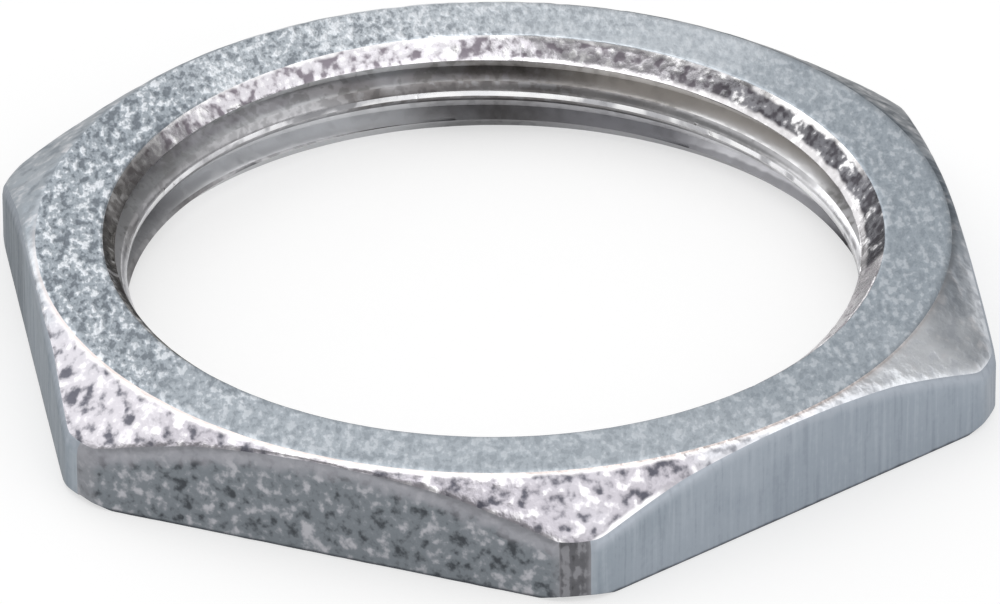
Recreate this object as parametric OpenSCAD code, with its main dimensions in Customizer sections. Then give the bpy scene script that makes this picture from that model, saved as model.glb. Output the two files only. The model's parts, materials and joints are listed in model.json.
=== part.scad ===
// Locknut of a cable gland: a thin hexagon nut with a fine metric thread, turned from hexagon bar.
// It is one piece. It rests on its plain seating face, and the face above it is chamfered.
// The origin is on the thread's axis, in the plane of the seating face, with +Z up through the nut.
// Two corners of the hexagon are on the X axis, so two of its flats face +Y and -Y.

/* [Thread] */
// Nominal diameter of the thread, at the bottom of its grooves
thread_d = 25; // [12:0.5:36]
// Pitch of the thread
pitch = 1.5; // [1:0.25:2]
// How much wider the bore is than the thread's basic inner diameter
bore_allowance = 0.22; // [0:0.02:0.3]
// Turn of the thread's start about its axis
thread_start = 245; // [0:5:355]

/* [Hexagon] */
// Wall between the thread's grooves and the flats; twice this and the thread make the spanner size
flat_wall = 2.5; // [1.5:0.25:5]
// Thickness of the nut, face to face
thickness = 3.5; // [3:0.25:7]
// How far the turned corners lie inside the sharp corners of the bar
corner_cut = 0.36; // [0.1:0.01:0.6]

/* [Edges] */
// How far the rim of the top face lies inside the flats
top_rim_inset = 0.21; // [0.05:0.01:1]
// Fall of the top chamfer, in degrees below the top face
chamfer_angle = 34; // [20:1:45]
// Height of the break on the corners round the seating face
seat_break = 0.2; // [0.05:0.01:0.4]
// Slope of that break, in degrees above the seating face
seat_break_angle = 30; // [20:1:60]
// How far the mouth of each countersink lies outside the thread
mouth_margin = 0.08; // [0:0.02:0.8]
// Angle between the sides of each countersink
countersink_angle = 90; // [80:5:120]

/* [Quality] */
// Steps of the thread in one turn
steps_per_turn = 72; // [36:12:96]

/* [Hidden] */
// Facets of the preview; the turned faces are true curves
$fn = 180;
// Overlap that makes each cut run cleanly through a face
cut_past = 0.5;

thread_r = thread_d / 2;
flat_r = thread_r + flat_wall;
bar_r = flat_r / cos(30);
corner_r = bar_r - corner_cut;
top_rim_r = flat_r - top_rim_inset;
chamfer_fall = (corner_r - top_rim_r) * tan(chamfer_angle);
seat_r = corner_r - seat_break / tan(seat_break_angle);

// The thread form is cut from a sharp triangle: each flank leans 30 degrees from square to the axis
flank_angle = 30;
sharp_h = pitch / 2 / tan(flank_angle);
// Its grooves keep five eighths of that triangle's height, and end in a flat of an eighth of the pitch
groove_depth = sharp_h * 5 / 8;
root_flat = pitch / 8;
bore_r = thread_r - groove_depth + bore_allowance / 2;
mouth_r = thread_r + mouth_margin;
countersink_depth = (mouth_r - bore_r) / tan(countersink_angle / 2);

// The cutter that makes the groove is a trapezoid whose wide side lies inside the bore.
// Its neighbouring turns stay clear of each other there.
open_r = bore_r - pitch / 5;
root_half = root_flat / 2;
open_half = root_half + (thread_r - open_r) * tan(flank_angle);
// It starts a pitch below the seating face and ends a pitch above the top face
steps = ceil((thickness / pitch + 2) * steps_per_turn);

// The hexagon bar, faced off to the thickness of the nut
module hexagon_bar() {
    cylinder(h = thickness, r = bar_r, $fn = 6);
}

// What a lathe leaves of the bar outside: turned corners, the chamfer and the break at the seat
module turned_outside() {
    rotate_extrude()
        polygon([
            [0, 0], [seat_r, 0], [corner_r, seat_break],
            [corner_r, thickness - chamfer_fall], [top_rim_r, thickness], [0, thickness]
        ]);
}

// The bore with a countersink at each end
module bored_inside() {
    translate([0, 0, -cut_past])
        cylinder(h = thickness + 2 * cut_past, r = bore_r);
    for (end = [0, 1])
        translate([0, 0, end * thickness])
            mirror([0, 0, end])
                rotate_extrude()
                    polygon([
                        [0, -cut_past], [mouth_r, -cut_past], [mouth_r, 0],
                        [bore_r, countersink_depth], [0, countersink_depth]
                    ]);
}

// One section of the groove, at a step along its right-hand helix
function groove_section(step) =
    let (
        angle = thread_start + 360 * step / steps_per_turn,
        mid_z = pitch * (step / steps_per_turn - 1)
    )
    [for (corner = [[open_r, -open_half], [thread_r, -root_half], [thread_r, root_half], [open_r, open_half]])
        [corner[0] * cos(angle), corner[0] * sin(angle), mid_z + corner[1]]];

// The thread's groove, swept from below the seating face to above the top face
module thread_groove() {
    points = [for (step = [0 : steps]) each groove_section(step)];
    sides = [for (step = [0 : steps - 1], side = [0 : 3])
        let (near = 4 * step, next = (side + 1) % 4)
        each [
            [near + side, near + next, near + 4 + next],
            [near + side, near + 4 + next, near + 4 + side]
        ]];
    first_end = [[3, 2, 1, 0]];
    last_end = [[for (side = [0 : 3]) 4 * steps + side]];
    polyhedron(points = points, faces = concat(sides, first_end, last_end));
}

module locknut() {
    color([0.66, 0.68, 0.71])
        difference() {
            intersection() {
                hexagon_bar();
                turned_outside();
            }
            bored_inside();
            thread_groove();
        }
}

locknut();
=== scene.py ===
"""Dresses the locknut of a cable gland: a thin hexagon nut, plated, blasted and tapped with a fine thread.

The nut is made the way a shop makes it. A blank with the section of the real nut is spun round its axis
and drawn in to the hexagon, a tap cuts the helical groove, and relief is worked into the skin.
Sizes are in millimetres in the classes and become metres where a mesh is made. Where a finish keeps
to one side of the nut, that side's direction and reach are in degrees round the axis.
"""

import json
import logging
import math
from dataclasses import dataclass
from enum import Enum
from functools import cached_property

import bmesh
import bpy
from mathutils import Matrix, Vector, noise


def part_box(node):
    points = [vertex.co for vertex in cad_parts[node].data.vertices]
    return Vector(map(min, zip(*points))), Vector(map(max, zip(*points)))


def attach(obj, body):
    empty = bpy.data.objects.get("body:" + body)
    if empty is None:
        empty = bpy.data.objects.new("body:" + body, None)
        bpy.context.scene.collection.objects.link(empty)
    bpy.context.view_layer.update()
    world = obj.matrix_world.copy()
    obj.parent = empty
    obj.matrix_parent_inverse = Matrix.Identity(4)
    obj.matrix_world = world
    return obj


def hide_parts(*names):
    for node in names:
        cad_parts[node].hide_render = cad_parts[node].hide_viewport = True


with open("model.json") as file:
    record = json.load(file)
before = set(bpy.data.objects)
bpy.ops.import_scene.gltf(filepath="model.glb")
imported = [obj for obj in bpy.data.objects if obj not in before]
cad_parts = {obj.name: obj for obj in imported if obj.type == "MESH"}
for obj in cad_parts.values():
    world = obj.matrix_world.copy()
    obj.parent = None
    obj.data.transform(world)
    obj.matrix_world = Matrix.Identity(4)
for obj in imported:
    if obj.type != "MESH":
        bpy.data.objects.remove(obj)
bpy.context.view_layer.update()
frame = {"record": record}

logging.basicConfig(level=logging.INFO, format="%(message)s")
log = logging.getLogger("locknut")

MM = 0.001
SIDES = 6
SIDE_DEGREES = 360 / SIDES
IMAGE_WIDTH = 1000
SENSOR_MM = 36.0
NODE = "locknut"

Colour = tuple[float, float, float]
Socket = bpy.types.NodeSocket


class Finish(Enum):
    """The finishes of the nut's surfaces, each with its own material slot number."""

    FACE = 0
    CHAMFER = 1
    CAST_FLAT = 2
    DRAWN_FLAT = 3
    COUNTERSINK = 4
    THREAD = 5
    CREST_EDGE = 6
    CREST = 7
    # A dark stretch of painted shade on a turned corner, with painted highlights along its sides.
    DULL_CORNER = 8


class Measure(Enum):
    """What a band on the nut is measured by: degrees off a corner, and millimetres for the rest."""

    RADIUS = "Radius"
    HEIGHT = "Height"
    BELOW_SHOULDER = "Below Shoulder"
    INSIDE_FLAT = "Inside Flat"
    OFF_CORNER = "Off Corner"


@dataclass(frozen=True)
class Band:
    """A band of another colour along an edge of the nut, mostly a painted highlight or a strip of painted
    shade.

    Args:
        measure: What it is measured by.
        full: Where it is at its strongest, in the measure's own unit.
        gone: Where it has faded out.
        colour: Its colour.
        strength: How far it covers the finish, 0 to 1.
        ragged: How far its border wanders.
        centre: The direction that it keeps to.
        reach: How far round from there it fades out. At 180 it goes all the way round.
    """

    measure: Measure
    full: float
    gone: float
    colour: Colour
    strength: float
    ragged: float = 0.1
    centre: float = 0.0
    reach: float = 180.0


@dataclass(frozen=True)
class PaintedLight:
    """Painted light and shade round one direction: a lighter or darker colour that stands in for how the
    light falls there.

    Args:
        centre: The direction where it is at its strongest.
        reach: How far round from there it fades out.
        colour: Its colour.
        strength: How far it covers the plating's own colour, 0 to 1.
    """

    centre: float
    reach: float
    colour: Colour
    strength: float


@dataclass(frozen=True)
class MetalLook:
    """How one finish of the plated metal looks.

    Args:
        colour: Mean colour of the plating on its coarsely blasted side, with that side's painted light and
            shade.
        pit_shade: What the painted shade in its pits leaves of each channel of the colour.
        glint: Colour of the painted highlights on its raised grains.
        roughness: Mean roughness.
        grain_mm: Size of the blasted grain.
        grain_height_mm: Height of the grain.
        contrast: How far the grain shows in the colour, 0 to 1.
        fine_colour_and_light: Mean colour on the side of the nut that is finely blasted, with that side's
            painted light and shade.
        fine_contrast: How far the grain shows there, 0 to 1.
        domes: How much of the grain is round domes, 0 to 1.
        streaks: How much of the grain is drawn out into upright marks, 0 to 1.
        softness: How gradually the pits and glints fade.
        coarse_and_light_centre: The direction of its coarsely blasted side, which also parts the two
            sides' painted light and shade.
        coarse_and_light_reach: How far round from there the coarse blasting, and that side's painted light
            and shade, fade out.
        drawn_out: How far the grain is drawn out along the direction it was blasted from.
        painted_lights: Painted light and shade: lighter and darker colours round some directions.
        bands: Bands along its edges, mostly painted highlights and strips of painted shade.
    """

    colour: Colour
    pit_shade: Colour
    glint: Colour
    roughness: float
    grain_mm: float
    grain_height_mm: float
    contrast: float
    fine_colour_and_light: Colour
    fine_contrast: float
    domes: float = 0.0
    streaks: float = 0.0
    softness: float = 0.09
    coarse_and_light_centre: float = 270.0
    coarse_and_light_reach: float = 96.0
    drawn_out: float = 1.0
    painted_lights: tuple[PaintedLight, ...] = ()
    bands: tuple[Band, ...] = ()


@dataclass(frozen=True)
class Relief:
    """Uneven skin that is worked into the mesh of one finish.

    Args:
        height_mm: How far the skin rises and falls.
        size_mm: Width of its bumps.
        pits_mm: Depth of the pits in it.
    """

    height_mm: float
    size_mm: float
    pits_mm: float = 0.0


# A dark line of painted shade along the foot of the sides, next to the floor.
SEAT_SHADE_LINE = Band(Measure.HEIGHT, 0.05, 0.16, (0.05, 0.055, 0.065), 0.85, 0.04)

# The looks paint light and shade into the colours: painted shade in the grain's pits, painted highlights
# on its glints, and lighter and darker colours round some directions and along the edges.
LOOKS: dict[Finish, MetalLook] = {
    # Top face: painted light and shade, lighter round 100 degrees and darker round 20 degrees.
    Finish.FACE: MetalLook(
        colour=(0.37, 0.41, 0.45), pit_shade=(0.46, 0.47, 0.49), glint=(0.82, 0.85, 0.89),
        roughness=0.36, grain_mm=0.18, grain_height_mm=0.06, contrast=0.85,
        fine_colour_and_light=(0.41, 0.45, 0.49), fine_contrast=0.28, softness=0.11, coarse_and_light_centre=180.0,
        drawn_out=1.8,
        painted_lights=(PaintedLight(100.0, 65.0, (0.54, 0.58, 0.62), 0.85), PaintedLight(20.0, 60.0, (0.31, 0.35, 0.39), 0.8))),
    # Chamfer: painted light and shade round the nut, near white on the fine side, with painted shade by
    # the rim round 55 degrees; painted highlights along the rim and by a corner's lower edge; a thin brown
    # line along the rim.
    Finish.CHAMFER: MetalLook(
        colour=(0.46, 0.44, 0.48), pit_shade=(0.24, 0.25, 0.28), glint=(0.98, 0.96, 0.98),
        roughness=0.28, grain_mm=0.36, grain_height_mm=0.13, contrast=1.0,
        fine_colour_and_light=(0.92, 0.95, 0.99), fine_contrast=0.42, domes=0.3, softness=0.14,
        coarse_and_light_centre=272.0, coarse_and_light_reach=74.0,
        painted_lights=(PaintedLight(180.0, 60.0, (0.34, 0.38, 0.42), 0.95), PaintedLight(238.0, 30.0, (0.6, 0.58, 0.62), 0.9),
               PaintedLight(32.0, 45.0, (0.36, 0.39, 0.43), 0.9), PaintedLight(60.0, 50.0, (0.11, 0.13, 0.155), 0.9)),
        bands=(Band(Measure.RADIUS, 14.85, 15.4, (0.14, 0.165, 0.19), 0.5, 0.2, 55.0, 60.0),
               Band(Measure.RADIUS, 14.82, 14.96, (0.97, 0.94, 0.95), 0.85, 0.1, 283.0, 95.0),
               Band(Measure.RADIUS, 14.79, 14.84, (0.6, 0.48, 0.43), 0.55, 0.02, 283.0, 95.0),
               Band(Measure.INSIDE_FLAT, 0.2, 0.3, (1.0, 0.98, 1.0), 0.95, 0.06, 303.0, 8.0),
               Band(Measure.RADIUS, 16.86, 16.78, (1.0, 0.98, 1.0), 0.9, 0.05, 301.0, 8.0))),
    # Cast flats: a lighter band of painted light under the shoulder, a painted highlight near the turned
    # corners and painted shade along the foot.
    Finish.CAST_FLAT: MetalLook(
        colour=(0.2, 0.22, 0.24), pit_shade=(0.38, 0.38, 0.39), glint=(0.45, 0.45, 0.48),
        roughness=0.42, grain_mm=0.36, grain_height_mm=0.06, contrast=1.0,
        fine_colour_and_light=(0.2, 0.22, 0.24), fine_contrast=1.0, softness=0.16,
        bands=(Band(Measure.BELOW_SHOULDER, 0.2, 0.75, (0.36, 0.36, 0.39), 0.8, 0.35),
               Band(Measure.RADIUS, 16.95, 16.75, (0.3, 0.3, 0.32), 0.6, 0.05), SEAT_SHADE_LINE)),
    # Drawn flats: darker on the coarse side, painted shade round 165 degrees and painted light round 352,
    # a lighter band of painted light under the shoulder, a painted highlight at the turned corners and
    # painted shade along the foot.
    Finish.DRAWN_FLAT: MetalLook(
        colour=(0.26, 0.3, 0.34), pit_shade=(0.8, 0.8, 0.81), glint=(0.46, 0.5, 0.55),
        roughness=0.38, grain_mm=0.18, grain_height_mm=0.008, contrast=0.3,
        fine_colour_and_light=(0.35, 0.39, 0.44), fine_contrast=0.25, streaks=0.7, softness=0.14,
        coarse_and_light_centre=240.0, coarse_and_light_reach=80.0,
        painted_lights=(PaintedLight(165.0, 50.0, (0.13, 0.16, 0.19), 0.9), PaintedLight(352.0, 35.0, (0.31, 0.35, 0.4), 0.8)),
        bands=(Band(Measure.BELOW_SHOULDER, 0.1, 0.4, (0.44, 0.47, 0.52), 0.5, 0.1),
               Band(Measure.RADIUS, 16.955, 16.9, (0.6, 0.63, 0.67), 0.3, 0.01), SEAT_SHADE_LINE)),
    # Countersinks: painted light and shade, light on the coarse side and near black on the fine side and
    # round 15 and 191 degrees, with white painted highlights round 345 degrees, along the mouth and along
    # the lower edge.
    Finish.COUNTERSINK: MetalLook(
        colour=(0.7, 0.68, 0.72), pit_shade=(0.28, 0.25, 0.28), glint=(0.99, 0.98, 0.99),
        roughness=0.24, grain_mm=0.27, grain_height_mm=0.06, contrast=0.9,
        fine_colour_and_light=(0.11, 0.105, 0.1), fine_contrast=0.75, domes=0.4, softness=0.12,
        coarse_and_light_centre=130.0, coarse_and_light_reach=80.0,
        painted_lights=(PaintedLight(15.0, 80.0, (0.15, 0.15, 0.165), 0.95), PaintedLight(345.0, 28.0, (0.97, 0.95, 0.97), 0.95)),
        bands=(Band(Measure.HEIGHT, 3.45, 3.36, (0.99, 0.98, 0.99), 0.75, 0.12, 130.0, 80.0),
               Band(Measure.HEIGHT, 3.4, 3.3, (0.99, 0.97, 0.97), 0.85, 0.12, 53.0, 18.0),
               Band(Measure.HEIGHT, 2.1, 2.00, (0.1, 0.095, 0.09), 0.75, 0.05, 191.0, 24.0),
               Band(Measure.HEIGHT, 2.86, 2.96, (0.99, 0.97, 0.98), 0.55, 0.08))),
    # Thread: painted light and shade, lighter on the fine side, round 157 degrees and low in the groove,
    # with lighter patches round 73, 75 and 146 degrees, a white painted highlight round 64 and painted
    # shade at the bottom.
    Finish.THREAD: MetalLook(
        colour=(0.21, 0.2, 0.195), pit_shade=(0.6, 0.6, 0.58), glint=(0.32, 0.32, 0.33),
        roughness=0.3, grain_mm=0.35, grain_height_mm=0.02, contrast=0.5,
        fine_colour_and_light=(0.3, 0.3, 0.31), fine_contrast=0.7, coarse_and_light_centre=111.0,
        painted_lights=(PaintedLight(157.0, 38.0, (0.48, 0.49, 0.51), 0.8),),
        bands=(Band(Measure.HEIGHT, 0.95, 1.3, (0.36, 0.36, 0.38), 0.5, 0.1),
               Band(Measure.HEIGHT, 0.3, 0.7, (0.08, 0.08, 0.085), 0.6, 0.15),
               Band(Measure.HEIGHT, 1.3, 1.42, (0.45, 0.45, 0.47), 0.92, 0.05, 75.0, 36.0),
               Band(Measure.HEIGHT, 0.6, 0.54, (0.95, 0.95, 0.97), 0.8, 0.04, 64.0, 20.0),
               Band(Measure.HEIGHT, 2.1, 1.8, (0.54, 0.52, 0.5), 0.9, 0.05, 73.0, 34.0),
               Band(Measure.HEIGHT, 1.3, 1.45, (0.76, 0.77, 0.79), 0.75, 0.05, 146.0, 31.0))),
    # Crests' edges: painted light and shade, dark on the coarse side and near white elsewhere, lighter
    # round 157 degrees, with painted shade round 65 degrees.
    Finish.CREST_EDGE: MetalLook(
        colour=(0.17, 0.16, 0.16), pit_shade=(0.64, 0.64, 0.64), glint=(0.3, 0.3, 0.31),
        roughness=0.28, grain_mm=0.4, grain_height_mm=0.02, contrast=0.6,
        fine_colour_and_light=(0.95, 0.95, 0.97), fine_contrast=0.25, coarse_and_light_centre=135.0, coarse_and_light_reach=85.0,
        painted_lights=(PaintedLight(157.0, 34.0, (0.55, 0.55, 0.57), 0.8),),
        bands=(Band(Measure.HEIGHT, 1.72, 1.64, (0.3, 0.3, 0.31), 0.85, 0.03, 65.0, 20.0),)),
    # Crests: a painted highlight, near white round 113, 35 and 190 degrees and grey elsewhere.
    Finish.CREST: MetalLook(
        colour=(0.9, 0.9, 0.92), pit_shade=(0.38, 0.38, 0.39), glint=(1.0, 1.0, 1.0),
        roughness=0.22, grain_mm=1.6, grain_height_mm=0.03, contrast=0.9,
        fine_colour_and_light=(0.5, 0.5, 0.52), fine_contrast=0.8, softness=0.07,
        coarse_and_light_centre=113.0, coarse_and_light_reach=32.0,
        painted_lights=(PaintedLight(35.0, 45.0, (0.95, 0.95, 0.97), 1.0), PaintedLight(190.0, 40.0, (0.9, 0.9, 0.92), 1.0))),
    # One turned corner: a dark stretch of painted shade, with painted highlights along both its sides and
    # painted shade along the foot.
    Finish.DULL_CORNER: MetalLook(
        colour=(0.13, 0.13, 0.14), pit_shade=(0.55, 0.55, 0.55), glint=(0.3, 0.3, 0.32),
        roughness=0.4, grain_mm=0.3, grain_height_mm=0.03, contrast=0.7,
        fine_colour_and_light=(0.13, 0.13, 0.14), fine_contrast=0.7, streaks=0.5,
        bands=(Band(Measure.OFF_CORNER, 1.3, 0.5, (0.3, 0.3, 0.32), 0.75, 0.25),
               Band(Measure.OFF_CORNER, -2.3, -1.9, (0.3, 0.3, 0.32), 0.85, 0.15), SEAT_SHADE_LINE)),
}

RELIEFS: dict[Finish, Relief] = {
    Finish.FACE: Relief(0.01, 0.8),
    Finish.CHAMFER: Relief(0.03, 0.8, 0.02),
    Finish.CAST_FLAT: Relief(0.035, 0.9, 0.015),
    Finish.DRAWN_FLAT: Relief(0.008, 1.6),
    Finish.COUNTERSINK: Relief(0.045, 0.6, 0.035),
    Finish.THREAD: Relief(0.014, 0.9),
    Finish.CREST_EDGE: Relief(0.02, 0.7),
    Finish.CREST: Relief(0.02, 0.7),
    Finish.DULL_CORNER: Relief(0.02, 0.8),
}


@dataclass(frozen=True)
class NutSizes:
    """Sizes of the nut, in millimetres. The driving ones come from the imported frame.

    Args:
        thickness: Face to face.
        flat_r: Half of the width across the flats.
        corner_r: Radius that the corners are turned to.
        bore_r: Radius of the thread's crests.
        thread_r: Radius of the bottom of the thread's groove.
        pitch: Pitch of the thread.
        thread_start: Where the groove's helix starts, in degrees round the axis.
        rim_inset: How far the rim of the top face lies inside the flats.
        chamfer_angle: Fall of the chamfer, in degrees.
        seat_break: Height of the break on the corners at the seating face.
        seat_break_angle: Slope of that break, in degrees.
        mouth_margin: How far each countersink's mouth lies outside the thread.
        countersink_angle: Slope of the countersinks, in degrees from the axis.
        corner_blend: How gradually the flats turn into the corners.
    """

    thickness: float
    flat_r: float
    corner_r: float
    bore_r: float
    thread_r: float = 12.5
    pitch: float = 1.5
    thread_start: float = 245.0
    rim_inset: float = 0.21
    chamfer_angle: float = 34.0
    seat_break: float = 0.2
    seat_break_angle: float = 30.0
    mouth_margin: float = 0.08
    countersink_angle: float = 45.0
    corner_blend: float = 0.12

    @classmethod
    def from_frame(cls) -> "NutSizes":
        """Read the nut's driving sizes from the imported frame.

        Returns:
            The sizes in millimetres.
        """
        low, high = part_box(NODE)
        thread = next(m for m in frame["record"]["mounts"] if m["name"] == "thread")
        return cls(thickness=(high[2] - low[2]) / MM, flat_r=(high[1] - low[1]) / 2 / MM,
                   corner_r=(high[0] - low[0]) / 2 / MM, bore_r=thread["dims"]["r_mm"])

    @property
    def rim_r(self) -> float:
        """Radius of the top face's rim."""
        return self.flat_r - self.rim_inset

    @property
    def mouth_r(self) -> float:
        """Radius of each countersink's mouth."""
        return self.thread_r + self.mouth_margin

    @property
    def countersink_depth(self) -> float:
        """Depth of each countersink."""
        return (self.mouth_r - self.bore_r) / math.tan(math.radians(self.countersink_angle))

    def outside_r(self, angle: float) -> float:
        """Find how far out the hexagon's side lies in one direction.

        Args:
            angle: Direction round the axis, in radians, from a corner.

        Returns:
            The radius of the flat there, or of the turned corner, with a soft change between them.
        """
        off_flat = (angle % math.radians(SIDE_DEGREES)) - math.radians(SIDE_DEGREES / 2)
        flat = self.flat_r / math.cos(off_flat)
        gap = flat - self.corner_r
        return (flat + self.corner_r - math.sqrt(gap * gap + self.corner_blend * self.corner_blend)) / 2


@dataclass(frozen=True)
class SectionCorner:
    """One corner of the nut's section, with the stretch that follows it.

    Args:
        r: Distance from the axis.
        z: Height above the seating face.
        rounding: How far its rounding reaches along the stretches beside it.
        rows: Rows of faces along the stretch that follows it.
        finish: Finish of that stretch, or None for the hexagon's flats.
    """

    r: float
    z: float
    rounding: float
    rows: int
    finish: Finish | None


@dataclass
class Blank:
    """The nut before it is tapped: a section spun round the axis and drawn in to the hexagon.

    Args:
        sizes: The nut's sizes.
        columns: Steps round the axis.
        crowding: How much closer the steps are at the hexagon's corners than in the middle, 0 to 1.
        round_steps: Steps in the rounding of each corner of the section.
        most_rounded: Largest share of a stretch that the rounding at one of its ends takes.
        least_break: Least width and height of the break at the seat.
        cast_flats: The flats, counted from the one beyond +X, with a cast look; the others are drawn.
        shaded_corners: The turned corners, counted from the one on +X, with a dark stretch of painted
            shade.
        shade_width: How wide that stretch of painted shade is, in degrees.
        shade_shift: How far round from the corner its middle lies, in degrees.
    """

    sizes: NutSizes
    columns: int = 600
    crowding: float = 0.5
    round_steps: int = 3
    most_rounded: float = 0.4
    least_break: tuple[float, float] = (0.05, 0.04)
    cast_flats: tuple[int, ...] = (1, 4)
    shaded_corners: tuple[int, ...] = (5,)
    shade_width: float = 3.6
    shade_shift: float = -0.5

    def corners(self, angle: float) -> list[SectionCorner]:
        """List the corners of the section in one direction.

        Args:
            angle: Direction round the axis, in radians.

        Returns:
            The corners, from the top mouth outwards, down the side, in along the seat and up the bore.
        """
        size = self.sizes
        side = size.outside_r(angle)
        top = size.thickness
        shoulder = top - (side - size.rim_r) * math.tan(math.radians(size.chamfer_angle))
        slope = math.tan(math.radians(size.seat_break_angle))
        seat_r = size.corner_r - size.seat_break / slope
        break_r = min(side - self.least_break[0], seat_r)
        break_z = max(self.least_break[1], (side - seat_r) * slope)
        depth = size.countersink_depth
        return [
            SectionCorner(size.mouth_r, top, 0.07, 13, Finish.FACE),
            SectionCorner(size.rim_r, top, 0.16, 8, Finish.CHAMFER),
            SectionCorner(side, shoulder, 0.4, 13, None),
            SectionCorner(side, break_z, 0.05, 2, None),
            SectionCorner(break_r, 0.0, 0.06, 10, Finish.FACE),
            SectionCorner(size.mouth_r, 0.0, 0.07, 6, Finish.THREAD),
            SectionCorner(size.bore_r, depth, 0.04, 9, Finish.CREST),
            SectionCorner(size.bore_r, top - depth, 0.04, 6, Finish.COUNTERSINK),
        ]

    def section(self, angle: float) -> list[tuple[float, float]]:
        """Work out the rounded section in one direction.

        Args:
            angle: Direction round the axis, in radians.

        Returns:
            Its points as radius and height, the same number in every direction.
        """
        corners = self.corners(angle)
        places = [Vector((corner.r, corner.z)) for corner in corners]
        ends: list[list[Vector]] = []
        for corner, here, *others in zip(corners, places, places[-1:] + places, places[1:] + places[:1]):
            runs = [other - here for other in others]
            ends.append([here + run.normalized() * min(corner.rounding, run.length * self.most_rounded)
                         for run in runs])
        points: list[Vector] = []
        for corner, here, (first, last), (far, _) in zip(corners, places, ends, ends[1:] + ends[:1]):
            for step in range(self.round_steps + 1):
                share = step / self.round_steps
                point = first * (1 - share) ** 2 + last * share ** 2
                points.append(point + here * (2 * share * (1 - share)))
            points += [last.lerp(far, step / corner.rows) for step in range(1, corner.rows)]
        return [(point.x, point.y) for point in points]

    def finishes(self) -> list[Finish | None]:
        """List the finish of each stretch of the section, in the order of its points."""
        found: list[Finish | None] = []
        corners = self.corners(0.0)
        for index, corner in enumerate(corners):
            before = corners[index - 1].finish
            half = self.round_steps // 2 + 1
            found += [before] * (self.round_steps - half) + [corner.finish] * (half + corner.rows)
        return found

    def flat_finish(self, angle: float) -> Finish:
        """Name the finish of the flat that lies in one direction, or of a corner's painted shade there."""
        corner = round(math.degrees(angle) / SIDE_DEGREES)
        off_middle = abs(math.degrees(angle) - corner * SIDE_DEGREES - self.shade_shift)
        if corner % SIDES in self.shaded_corners and off_middle < self.shade_width / 2:
            return Finish.DULL_CORNER
        flat = int((angle % math.tau) // math.radians(SIDE_DEGREES))
        return Finish.CAST_FLAT if flat in self.cast_flats else Finish.DRAWN_FLAT

    def build(self) -> bmesh.types.BMesh:
        """Spin the section and draw it in to the hexagon.

        Returns:
            The blank, in metres, with the number of its finish on each face.
        """
        bm = bmesh.new()
        row_layer = bm.verts.layers.int.new("row")
        verts = []
        for row, (radius, height) in enumerate(self.section(0.0)):
            vert = bm.verts.new((radius * MM, 0.0, height * MM))
            vert[row_layer] = row
            verts.append(vert)
        edges = [bm.edges.new((verts[row - 1], verts[row])) for row in range(len(verts))]
        bmesh.ops.spin(bm, geom=verts + edges, cent=(0, 0, 0), axis=(0, 0, 1), dvec=(0, 0, 0),
                       angle=math.tau, steps=self.columns, use_merge=True)
        self._draw_in(bm)
        self._name_finishes(bm)
        bmesh.ops.recalc_face_normals(bm, faces=bm.faces)
        return bm

    def _draw_in(self, bm: bmesh.types.BMesh) -> None:
        """Move each column of the spun blank onto the section of its own direction.

        Args:
            bm: The spun blank.
        """
        row_layer = bm.verts.layers.int["row"]
        sections: dict[int, tuple[float, list[tuple[float, float]]]] = {}
        for vert in bm.verts:
            turn = math.atan2(vert.co.y, vert.co.x) % math.tau
            column = round(turn * self.columns / math.tau) % self.columns
            if column not in sections:
                even = column * math.tau / self.columns
                angle = even - self.crowding / SIDES * math.sin(SIDES * even)
                sections[column] = (angle, self.section(angle))
            angle, points = sections[column]
            radius, height = points[vert[row_layer]]
            vert.co = Vector((radius * math.cos(angle), radius * math.sin(angle), height)) * MM

    def _name_finishes(self, bm: bmesh.types.BMesh) -> None:
        """Give each face the number of its finish.

        Args:
            bm: The blank.
        """
        row_layer = bm.verts.layers.int["row"]
        finishes = self.finishes()
        last_row = len(finishes) - 1
        for face in bm.faces:
            rows = sorted({vert[row_layer] for vert in face.verts})
            row = last_row if rows[0] == 0 and rows[-1] == last_row else rows[0]
            centre = face.calc_center_median()
            finish = finishes[row] or self.flat_finish(math.atan2(centre.y, centre.x))
            face.material_index = finish.value
            face.smooth = True


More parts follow.
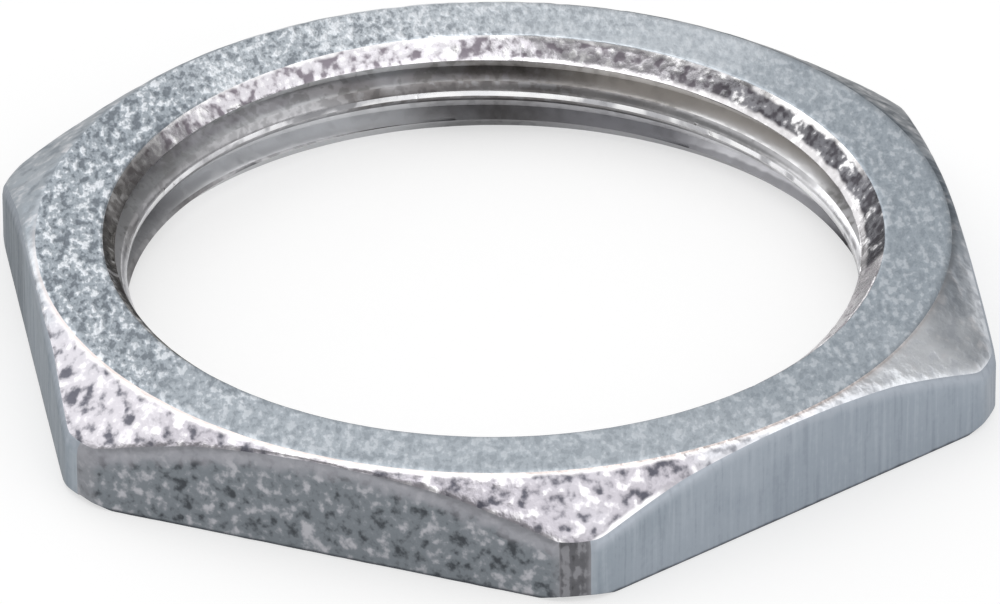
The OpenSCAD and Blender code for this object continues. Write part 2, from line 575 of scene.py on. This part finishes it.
@dataclass
class Tap:
    """The cutter that leaves the thread's groove: a trapezoid swept along a right-hand helix.

    Args:
        sizes: The nut's sizes.
        steps_per_turn: Steps of the sweep in one turn.
        flank_rows: Rows of faces up each flank of the groove.
        flank_angle: Lean of the flanks, in degrees from square to the axis.
        crest_rounding: How deep the rounding of the crests' edges reaches into the groove.
        crest_rows: Rows of faces in that rounding.
        crest_flare: How fast the groove widens in it.
    """

    sizes: NutSizes
    steps_per_turn: int = 360
    flank_rows: int = 5
    flank_angle: float = 30.0
    crest_rounding: float = 0.2
    crest_rows: int = 3
    crest_flare: float = 3.7

    @property
    def edge_r(self) -> float:
        """Radius at which the rounding of the crests' edges ends."""
        return self.sizes.bore_r + self.crest_rounding

    def half_width(self, radius: float) -> float:
        """Half of the groove's width at one radius."""
        size = self.sizes
        half_root = size.pitch / 16
        lean = math.tan(math.radians(self.flank_angle))
        flare = max(0.0, self.edge_r - radius) ** 2 * self.crest_flare
        return half_root + (size.thread_r - radius) * lean + flare

    def outline(self) -> list[tuple[float, float]]:
        """Work out the cutter's section: up one flank, across the root and down the other.

        Returns:
            Its points as radius and height above the groove's middle.
        """
        size = self.sizes
        edge = self.edge_r
        past_crest = size.pitch / 50
        inner = size.bore_r - past_crest
        radii = [inner + (edge - inner) * row / self.crest_rows for row in range(self.crest_rows)]
        radii += [edge + (size.thread_r - edge) * row / self.flank_rows
                  for row in range(self.flank_rows + 1)]
        lower = [(radius, -self.half_width(radius)) for radius in radii]
        upper = [(radius, -height) for radius, height in reversed(lower)]
        return lower + upper

    def build(self) -> bmesh.types.BMesh:
        """Sweep the cutter's section from below the nut to above it.

        Returns:
            The closed cutter, in metres.
        """
        size = self.sizes
        bm = bmesh.new()
        verts = [bm.verts.new((radius * MM, 0.0, (height - size.pitch) * MM))
                 for radius, height in self.outline()]
        edges = [bm.edges.new((verts[index - 1], verts[index])) for index in range(len(verts))]
        steps = math.ceil((size.thickness / size.pitch + 2) * self.steps_per_turn)
        rise = size.pitch / self.steps_per_turn
        bmesh.ops.spin(bm, geom=verts + edges, cent=(0, 0, 0), axis=(0, 0, 1), dvec=(0, 0, rise * MM),
                       angle=math.tau * steps / self.steps_per_turn, steps=steps, use_merge=False)
        bmesh.ops.holes_fill(bm, edges=[edge for edge in bm.edges if edge.is_boundary])
        bmesh.ops.rotate(bm, cent=(0, 0, 0), verts=bm.verts,
                         matrix=Matrix.Rotation(math.radians(size.thread_start), 3, "Z"))
        bmesh.ops.recalc_face_normals(bm, faces=bm.faces)
        self._name_finishes(bm)
        return bm

    def _name_finishes(self, bm: bmesh.types.BMesh) -> None:
        """Give each face the number of its finish: thread, crest's edge or blasted mouth.

        Args:
            bm: The cutter.
        """
        size = self.sizes
        edge = self.edge_r * MM
        blasted = (size.thickness - size.countersink_depth) * MM
        for face in bm.faces:
            centre = face.calc_center_median()
            finish = Finish.THREAD
            if centre.z > blasted:
                finish = Finish.COUNTERSINK
            elif centre.xy.length < edge:
                finish = Finish.CREST_EDGE
            face.material_index = finish.value
            face.smooth = True


@dataclass
class NodeTree:
    """A material's or a group's nodes, with short ways to add and join them.

    Args:
        tree: The node tree to fill.
    """

    tree: bpy.types.NodeTree

    def add(self, kind: str, inputs: dict | None = None, **settings: object) -> bpy.types.Node:
        """Add a node.

        Args:
            kind: Its type without ShaderNode before it, such as Math.
            inputs: Its input sockets' values, or the sockets that feed them.
            settings: Its own properties.

        Returns:
            The node.
        """
        node = self.tree.nodes.new("ShaderNode" + kind)
        for name, value in settings.items():
            setattr(node, name, value)
        self.feed(node, inputs or {})
        return node

    def feed(self, node: bpy.types.Node, inputs: dict) -> None:
        """Fill a node's inputs.

        Args:
            node: The node.
            inputs: Its input sockets' values, or the sockets that feed them.
        """
        for name, value in inputs.items():
            if isinstance(value, Socket):
                self.tree.links.new(value, node.inputs[name])
            else:
                node.inputs[name].default_value = value

    def math(self, operation: str, first: object, second: object = 0.0, clamp: bool = False) -> Socket:
        """Add a math node and give its output."""
        node = self.add("Math", {0: first, 1: second}, operation=operation, use_clamp=clamp)
        return node.outputs[0]

    def mix(self, share: object, first: object, second: object) -> Socket:
        """Add a node that mixes two values and give its output."""
        return self.add("Mix", {0: share, 2: first, 3: second}, data_type="FLOAT").outputs[0]

    def mix_colour(self, share: object, first: object, second: object, blend_type: str = "MIX") -> Socket:
        """Add a node that mixes two colours and give its output."""
        ends = [(*end, 1.0) if isinstance(end, tuple) else end for end in (first, second)]
        node = self.add("Mix", {0: share, 6: ends[0], 7: ends[1]}, data_type="RGBA", blend_type=blend_type)
        return node.outputs[2]

    def spread(self, value: Socket, low: object, high: object) -> Socket:
        """Stretch the values between two levels smoothly over 0 to 1."""
        node = self.add("MapRange", {"Value": value, "From Min": low, "From Max": high},
                        interpolation_type="SMOOTHSTEP")
        return node.outputs[0]

    def noise(self, place: Socket, scale: object, detail: float) -> Socket:
        """Add a noise and give its level."""
        return self.add("TexNoise", {"Vector": place, "Scale": scale, "Detail": detail}).outputs[0]

    def stretch(self, place: Socket, shares: tuple[float, float, float]) -> Socket:
        """Multiply a place's coordinates and give the new place."""
        return self.add("VectorMath", {0: place, 1: shares}, operation="MULTIPLY").outputs[0]

    def turn(self, place: Socket, angle: object) -> Socket:
        """Turn a place about the Z axis and give the new place."""
        node = self.add("VectorRotate", {"Vector": place, "Angle": angle}, rotation_type="Z_AXIS")
        return node.outputs[0]

    def seen(self) -> Socket:
        """Give 1 for the rays that see a thing, also in metal and glass, and 0 for those that light it."""
        path = self.add("LightPath").outputs
        seen = self.math("ADD", path["Is Camera Ray"], path["Is Glossy Ray"])
        return self.math("ADD", seen, path["Is Transmission Ray"], clamp=True)


@dataclass
class ShaderGroups:
    """The node groups that the nut's materials share, each built once.

    Args:
        coarse_scale: Scale of the grain's coarse part, as a share of the grain's.
        coarse_share: How much of the grain that part is.
        dome_top: Level of a dome's middle.
        upright: Shares of the coordinates that the streaks follow.
        calm: How far from the middle level the pits and glints begin.
        side_scale: Scale of the noise along a side's border.
    """

    coarse_scale: float = 0.45
    coarse_share: float = 0.35
    dome_top: float = 0.89
    upright: tuple[float, float, float] = (1.0, 1.0, 0.05)
    calm: float = 0.01
    side_scale: float = 260.0

    def _new(self, name: str, inputs: list[str], outputs: list[str]) -> tuple:
        """Start a group.

        Args:
            name: Its name.
            inputs: The numbers that it takes besides a place.
            outputs: The numbers that it puts out.

        Returns:
            Its tree, the sockets of its input node and its output node.
        """
        group = bpy.data.node_groups.new(name, "ShaderNodeTree")
        group.interface.new_socket(name="Vector", in_out="INPUT", socket_type="NodeSocketVector")
        for way, labels in (("INPUT", inputs), ("OUTPUT", outputs)):
            for label in labels:
                group.interface.new_socket(name=label, in_out=way, socket_type="NodeSocketFloat")
        given, result = group.nodes.new("NodeGroupInput"), group.nodes.new("NodeGroupOutput")
        return NodeTree(group), given.outputs, result

    @cached_property
    def blasted_grain(self) -> bpy.types.NodeTree:
        """The grain of a blasted and plated skin: its height, its pits, which take painted shade and
        roughness, and its glints, which take painted highlights.
        """
        tree, given, result = self._new(
            "blasted_grain", ["Scale", "Domes", "Streaks", "Softness"], ["Height", "Pits", "Glints"])
        place, scale = given["Vector"], given["Scale"]
        coarse = tree.noise(place, tree.math("MULTIPLY", scale, self.coarse_scale), 1.0)
        skin = tree.mix(self.coarse_share, tree.noise(place, scale, 3.0), coarse)
        cells = tree.add("TexVoronoi", {"Vector": place, "Scale": scale, "Smoothness": 0.6},
                         feature="SMOOTH_F1")
        domes = tree.math("SUBTRACT", self.dome_top, cells.outputs["Distance"])
        skin = tree.mix(given["Domes"], skin, tree.mix(0.5, domes, coarse))
        marks = tree.noise(tree.stretch(place, self.upright), scale, 2.0)
        level = tree.mix(given["Streaks"], skin, marks)
        low = tree.math("SUBTRACT", 0.5, given["Softness"])
        high = tree.math("ADD", 0.5, given["Softness"])
        pits = tree.math("SUBTRACT", 1.0, tree.spread(level, low, 0.5 - self.calm))
        glints = tree.spread(level, 0.5 + self.calm, high)
        tree.feed(result, {"Height": level, "Pits": pits, "Glints": glints})
        return tree.tree

    @cached_property
    def one_side(self) -> bpy.types.NodeTree:
        """A mask that is 1 round one direction from the axis and 0 away from it, with a ragged change."""
        tree, given, result = self._new("one_side", ["Turn", "Gone", "Full", "Ragged"], ["Mask"])
        place = given["Vector"]
        level = tree.stretch(place, (1.0, 1.0, 0.0))
        way = tree.add("VectorMath", {0: level}, operation="NORMALIZE").outputs[0]
        along = tree.add("SeparateXYZ", {0: tree.turn(way, given["Turn"])}).outputs[0]
        wander = tree.math("SUBTRACT", tree.noise(place, self.side_scale, 2.0), 0.5)
        shifted = tree.math("ADD", along, tree.math("MULTIPLY", wander, given["Ragged"]))
        tree.feed(result, {"Mask": tree.spread(shifted, given["Gone"], given["Full"])})
        return tree.tree

    @cached_property
    def edge_measures(self) -> bpy.types.NodeTree:
        """The measures that the bands along the nut's edges are placed by.

        They are, in millimetres, the distance from the axis, the height, the drop below the chamfer's
        outer edge, which is lower where the side lies further out, and how far inside the nearest flat
        a place is; and in degrees, how far it is off the nearest corner.
        """
        tree, given, result = self._new(
            "edge_measures", ["Rim", "Fall", "Top", "Flat"], [measure.value for measure in Measure])
        scaled = tree.add("VectorMath", {0: given["Vector"], 3: 1 / MM}, operation="SCALE").outputs[0]
        along = tree.add("SeparateXYZ", {0: scaled}).outputs
        level = tree.stretch(scaled, (1.0, 1.0, 0.0))
        radius = tree.add("VectorMath", {0: level}, operation="LENGTH").outputs["Value"]
        fall = tree.math("MULTIPLY", tree.math("SUBTRACT", radius, given["Rim"]), given["Fall"])
        drop = tree.math("SUBTRACT", tree.math("SUBTRACT", given["Top"], fall), along["Z"])
        half = math.radians(SIDE_DEGREES / 2)
        turn = tree.math("ARCTAN2", along["Y"], along["X"])
        off_flat = tree.math("SUBTRACT", half, tree.math("PINGPONG", turn, half))
        square = tree.math("MULTIPLY", radius, tree.math("COSINE", off_flat))
        past_flat = tree.math("FLOORED_MODULO", tree.math("ADD", turn, half), 2 * half)
        off_corner = tree.math("DEGREES", tree.math("SUBTRACT", past_flat, half))
        inside = tree.math("SUBTRACT", given["Flat"], square)
        found = {Measure.RADIUS: radius, Measure.HEIGHT: along["Z"], Measure.BELOW_SHOULDER: drop,
                 Measure.INSIDE_FLAT: inside, Measure.OFF_CORNER: off_corner}
        tree.feed(result, {measure.value: socket for measure, socket in found.items()})
        return tree.tree


@dataclass
class PlatedMetal:
    """The material of one finish.

    Args:
        finish: Which finish it is.
        look: Its colours, roughness, grain and bands.
        sizes: The nut's sizes, which the bands are measured from.
        groups: The shared node groups.
        edge_tint: How much of a plain metal's brightening it has where it is seen at a glancing angle.
        pit_roughness: How much rougher its pits are.
        blasted_from: The direction it was blasted from.
        side_full: Share of its reach in which a side is at its strongest.
        band_ragged: How ragged the ends of its bands are, of the raggedness of its tones.
        band_scale: Scale of the noise along its bands' borders.
    """

    finish: Finish
    look: MetalLook
    sizes: NutSizes
    groups: ShaderGroups
    edge_tint: float = 0.65
    pit_roughness: float = 0.15
    blasted_from: float = 111.0
    side_full: float = 0.4
    band_ragged: float = 0.02
    band_scale: float = 2200.0

    def build(self) -> bpy.types.Material:
        """Make the material.

        Returns:
            The material, whose patterns follow the object's own coordinates.
        """
        look = self.look
        material = bpy.data.materials.new(f"plated_{self.finish.name.lower()}")
        material.use_nodes = True
        tree = NodeTree(material.node_tree)
        place = tree.add("TexCoord").outputs["Object"]
        blasted = tree.turn(place, math.radians(-self.blasted_from))
        given = {"Vector": tree.stretch(blasted, (1 / look.drawn_out, 1.0, 1.0)),
                 "Scale": 1 / (look.grain_mm * MM), "Domes": look.domes, "Streaks": look.streaks,
                 "Softness": look.softness}
        grain = tree.add("Group", given, node_tree=self.groups.blasted_grain).outputs
        # The coarse side's mask sets how far the grain shows, and it also mixes the two sides' colours,
        # which carry painted light and shade.
        coarse = self._side_mask(tree, place, look.coarse_and_light_centre, look.coarse_and_light_reach)
        amount = tree.mix(coarse, look.fine_contrast, look.contrast)
        skin = tree.mix_colour(coarse, look.fine_colour_and_light, look.colour)
        # Painted light and shade round some directions.
        for painted_light in look.painted_lights:
            where = self._side_mask(tree, place, painted_light.centre, painted_light.reach)
            skin = tree.mix_colour(tree.math("MULTIPLY", where, painted_light.strength), skin, painted_light.colour)
        # Painted shade in the grain's pits, then painted highlights on its glints.
        pits = tree.math("MULTIPLY", grain["Pits"], amount)
        skin = tree.mix_colour(pits, skin, look.pit_shade, blend_type="MULTIPLY")
        skin = tree.mix_colour(tree.math("MULTIPLY", grain["Glints"], amount), skin, look.glint)
        rough = tree.add("Math", {0: grain["Pits"], 1: self.pit_roughness, 2: look.roughness},
                         operation="MULTIPLY_ADD")
        bump = tree.add("Bump", {"Strength": 1.0, "Distance": look.grain_height_mm * MM,
                                 "Height": tree.math("MULTIPLY", grain["Height"], amount)})
        tree.feed(material.node_tree.nodes["Principled BSDF"],
                  {"Metallic": 1.0, "Specular Tint": (self.edge_tint, self.edge_tint, self.edge_tint, 1.0),
                   "Base Color": self._add_bands(tree, place, skin), "Roughness": rough.outputs[0],
                   "Normal": bump.outputs[0]})
        return material

    def _side_mask(self, tree: NodeTree, place: Socket, centre: float, reach: float,
                   ragged: float = 1.0) -> Socket:
        """Mask the part of the nut that lies round one direction.

        Args:
            tree: The material's nodes.
            place: The object's coordinates.
            centre: The direction.
            reach: How far round from there the mask fades out.
            ragged: How ragged its border is.

        Returns:
            The mask.
        """
        given = {"Vector": place, "Turn": math.radians(-centre), "Gone": math.cos(math.radians(reach)),
                 "Full": math.cos(math.radians(reach * self.side_full)), "Ragged": ragged}
        return tree.add("Group", given, node_tree=self.groups.one_side).outputs["Mask"]

    def _add_bands(self, tree: NodeTree, place: Socket, skin: Socket) -> Socket:
        """Lay the look's bands, mostly painted highlights and painted shade along edges, over the skin's
        colour.

        Args:
            tree: The material's nodes.
            place: The object's coordinates.
            skin: The skin's colour.

        Returns:
            The colour with the bands on it.
        """
        if not self.look.bands:
            return skin
        size = self.sizes
        given = {"Vector": place, "Rim": size.rim_r, "Fall": math.tan(math.radians(size.chamfer_angle)),
                 "Top": size.thickness, "Flat": size.flat_r}
        edges = tree.add("Group", given, node_tree=self.groups.edge_measures).outputs
        wander = tree.math("SUBTRACT", tree.noise(place, self.band_scale, 1.0), 0.5)
        for band in self.look.bands:
            shift = tree.math("MULTIPLY", wander, band.ragged * 2)
            faded = tree.spread(tree.math("ADD", edges[band.measure.value], shift), band.gone, band.full)
            cover = tree.math("MULTIPLY", faded, band.strength)
            if band.reach < 180.0:
                kept = self._side_mask(tree, place, band.centre, band.reach, self.band_ragged)
                cover = tree.math("MULTIPLY", cover, kept)
            skin = tree.mix_colour(cover, skin, band.colour)
        return skin


def put_in_scene(name: str, data: bpy.types.ID) -> bpy.types.Object:
    """Make an object and put it in the scene.

    Args:
        name: Its name.
        data: Its mesh, camera or lamp.

    Returns:
        The object.
    """
    made = bpy.data.objects.new(name, data)
    bpy.context.scene.collection.objects.link(made)
    return made


def put_mesh(name: str, bm: bmesh.types.BMesh) -> bpy.types.Object:
    """Turn a bmesh into an object in the scene.

    Args:
        name: Its name.
        bm: The bmesh, which is freed.

    Returns:
        The object.
    """
    mesh = bpy.data.meshes.new(name)
    bm.to_mesh(mesh)
    bm.free()
    return put_in_scene(name, mesh)


@dataclass
class Locknut:
    """The finished nut: the blank, tapped, with relief in its skin and its finishes on it.

    Args:
        sizes: The nut's sizes.
        seed: Offset of the noise that the relief follows.
        sharp_angle: Bend above which an edge stays crisp, in radians.
        crisp_share: Share of the relief that crisp edges take.
        merge_mm: How close the points are that are merged after the cut.
        ripple_scale: Scale of the ripple on the relief's swell.
        hollow_scale: Scale of its hollows.
        hollow_level: Level of the noise above which a hollow begins.
    """

    sizes: NutSizes
    seed: float = 7.0
    sharp_angle: float = 0.7
    crisp_share: float = 0.15
    merge_mm: float = 0.0005
    ripple_scale: float = 2.1
    hollow_scale: float = 1.3
    hollow_level: float = 0.15

    def build(self) -> bpy.types.Object:
        """Make the nut and put it in the scene.

        Returns:
            The nut's object, at the origin.
        """
        nut = put_mesh("locknut_body", Blank(self.sizes).build())
        tap = put_mesh("tap", Tap(self.sizes).build())
        groups = ShaderGroups()
        for finish in Finish:
            material = PlatedMetal(finish, LOOKS[finish], self.sizes, groups).build()
            nut.data.materials.append(material)
            tap.data.materials.append(material)
        self._cut(nut, tap)
        self._work_relief(nut)
        return nut

    def _cut(self, nut: bpy.types.Object, tap: bpy.types.Object) -> None:
        """Cut the thread's groove into the nut and remove the tap.

        Args:
            nut: The blank.
            tap: The cutter.
        """
        cut = nut.modifiers.new("thread", "BOOLEAN")
        cut.operation = "DIFFERENCE"
        cut.solver = "MANIFOLD"
        cut.object = tap
        nut_now = nut.evaluated_get(bpy.context.evaluated_depsgraph_get())
        cut_mesh = bpy.data.meshes.new_from_object(nut_now)
        nut.modifiers.clear()
        used = [nut.data, tap.data]
        nut.data = cut_mesh
        bpy.data.objects.remove(tap)
        for mesh in used:
            bpy.data.meshes.remove(mesh)
        cut_mesh.name = "locknut_body"

    def _work_relief(self, nut: bpy.types.Object) -> None:
        """Sink the skin a little, unevenly, as each finish has it.

        Args:
            nut: The tapped nut.
        """
        bm = bmesh.new()
        bm.from_mesh(nut.data)
        bmesh.ops.remove_doubles(bm, verts=bm.verts, dist=self.merge_mm * MM)
        bm.normal_update()
        reliefs = [RELIEFS[finish] for finish in Finish]
        parts = [(relief.height_mm, relief.size_mm, relief.pits_mm) for relief in reliefs]
        moves: list[Vector] = []
        for vert in bm.verts:
            around = zip(*(parts[face.material_index] for face in vert.link_faces))
            height, size, pits = (sum(part) / len(part) for part in around)
            place = vert.co / (size * MM) + Vector((self.seed, self.seed, self.seed))
            swell = (noise.noise(place) + 0.5 * noise.noise(place * self.ripple_scale)) / 1.5
            elsewhere = place * self.hollow_scale + Vector((3.0, 1.0, 2.0))
            hollow = max(0.0, noise.noise(elsewhere) - self.hollow_level)
            crisp = any(edge.calc_face_angle(0.0) > self.sharp_angle for edge in vert.link_edges)
            share = self.crisp_share if crisp else 1.0
            depth = ((0.5 - 0.5 * swell) * height + hollow * pits * 2.0) * share
            moves.append(vert.normal * (-depth * MM))
        for vert, move in zip(bm.verts, moves):
            vert.co += move
        for edge in bm.edges:
            edge.smooth = edge.calc_face_angle(0.0) < self.sharp_angle
        bm.to_mesh(nut.data)
        bm.free()


@dataclass
class Studio:
    """A plain pale floor, a white surround and two soft lamps.

    Args:
        floor_radius: Radius of the floor, in metres.
        floor_colour: Colour of the floor.
        floor_white: Level that the floor has of itself where it is seen, which keeps its shadow light.
        plain: Level at which the surround lights everything.
        surround: Levels of the surround as it is seen, each with its height on a sphere of radius 1.
    """

    floor_radius: float = 3.0
    floor_colour: tuple[float, float, float] = (0.42, 0.42, 0.42)
    floor_white: float = 0.6
    plain: float = 0.4
    surround: tuple[tuple[float, float], ...] = (
        (0.0, 1.0), (0.18, 1.0), (0.4, 0.4), (0.76, 0.34), (0.95, 0.8))

    def build(self) -> None:
        """Make the floor, the surround and the lamps."""
        self._floor()
        self._surround()
        self._lamp("key", azimuth=-114.0, elevation=50.0, strength=1.35, spread=80.0)
        self._lamp("fill", azimuth=81.0, elevation=50.0, strength=1.0, spread=80.0)

    def _floor(self) -> None:
        """Lay the floor in the plane of the seating face."""
        bm = bmesh.new()
        bmesh.ops.create_circle(bm, cap_ends=True, radius=self.floor_radius, segments=96)
        floor = put_mesh("floor", bm)
        material = bpy.data.materials.new("floor")
        material.use_nodes = True
        tree = NodeTree(material.node_tree)
        tree.feed(material.node_tree.nodes["Principled BSDF"],
                  {"Base Color": (*self.floor_colour, 1.0), "Roughness": 1.0, "Specular IOR Level": 0.0,
                   "Emission Color": (1.0, 1.0, 1.0, 1.0),
                   "Emission Strength": tree.math("MULTIPLY", tree.seen(), self.floor_white)})
        floor.data.materials.append(material)

    def _surround(self) -> None:
        """Light the scene plainly, and show the horizon and the walls only to the rays that see them."""
        world = bpy.data.worlds.new("studio")
        bpy.context.scene.world = world
        world.use_nodes = True
        tree = NodeTree(world.node_tree)
        way = tree.add("TexCoord").outputs["Generated"]
        height = tree.add("SeparateXYZ", {0: way}).outputs["Z"]
        ramp = tree.add("ValToRGB", {"Fac": height})
        ramp.color_ramp.interpolation = "EASE"
        stops = ramp.color_ramp.elements
        while len(stops) < len(self.surround):
            stops.new(1.0)
        for stop, (place, level) in zip(stops, self.surround):
            stop.position = place
            stop.color = (level, level, level, 1.0)
        plain = (self.plain, self.plain, self.plain)
        shown = tree.mix_colour(tree.seen(), plain, ramp.outputs["Color"])
        tree.feed(world.node_tree.nodes["Background"], {"Color": shown, "Strength": 1.0})

    def _lamp(self, name: str, azimuth: float, elevation: float, strength: float, spread: float) -> None:
        """Add a soft lamp far away.

        Args:
            name: The lamp's name.
            azimuth: Where it stands round the nut, in degrees, as the camera's is counted.
            elevation: Its height, in degrees.
            strength: Its strength.
            spread: How wide it looks from the nut, in degrees.
        """
        data = bpy.data.lights.new(name, "SUN")
        data.energy = strength
        data.angle = math.radians(spread)
        lamp = put_in_scene(name, data)
        lamp.matrix_world = PhotoCamera.facing(azimuth, elevation, 0.0).to_4x4()


@dataclass
class PhotoCamera:
    """The camera, at the photograph's viewing angle.

    Args:
        azimuth: Where it stands round the nut, in degrees.
        elevation: Its height above the floor, in degrees.
        roll: Its roll, in degrees.
        distance: Its distance from the point it looks at, in millimetres.
        focal_px: Its focal length in pixels of the photograph.
        aim_side: How far that point lies to the camera's right of the axis, in millimetres.
        aim_height: That point's height, in millimetres.
    """

    azimuth: float = 20.94
    elevation: float = 31.21
    roll: float = -0.15
    distance: float = 418.5
    focal_px: float = 12975.0
    aim_side: float = 0.2
    aim_height: float = 0.79

    @staticmethod
    def facing(azimuth: float, elevation: float, roll: float) -> Matrix:
        """Work out how something that stands round the nut is turned to face it.

        Args:
            azimuth: Where it stands, in degrees.
            elevation: Its height, in degrees.
            roll: Its roll, in degrees.

        Returns:
            Its rotation.
        """
        turn, rise = math.radians(azimuth), math.radians(elevation)
        back = Vector((math.sin(turn) * math.cos(rise), -math.cos(turn) * math.cos(rise), math.sin(rise)))
        right = Vector((math.cos(turn), math.sin(turn), 0.0))
        basis = Matrix((right, back.cross(right), back)).transposed()
        return basis @ Matrix.Rotation(math.radians(roll), 3, "Z")

    def build(self) -> bpy.types.Object:
        """Make the camera and look through it.

        Returns:
            The camera's object.
        """
        data = bpy.data.cameras.new("photo")
        data.sensor_width = SENSOR_MM
        data.lens = self.focal_px * SENSOR_MM / IMAGE_WIDTH
        data.clip_start = 0.01
        data.clip_end = 20.0
        camera = put_in_scene("photo", data)
        right, _, back = self.facing(self.azimuth, self.elevation, 0.0).col
        aim = right * self.aim_side + Vector((0.0, 0.0, self.aim_height))
        turned = self.facing(self.azimuth, self.elevation, self.roll)
        camera.matrix_world = Matrix.Translation((aim + back * self.distance) * MM) @ turned.to_4x4()
        bpy.context.scene.camera = camera
        return camera


def main() -> None:
    """Build the camera, the studio and the nut."""
    bpy.context.scene.view_settings.view_transform = "Standard"
    PhotoCamera().build()
    Studio().build()
    sizes = NutSizes.from_frame()
    nut = Locknut(sizes).build()
    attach(nut, "root")
    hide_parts(NODE)
    log.info("%s: %d vertices, %d faces", nut.name, len(nut.data.vertices), len(nut.data.polygons))


if __name__ == "__main__":
    main()
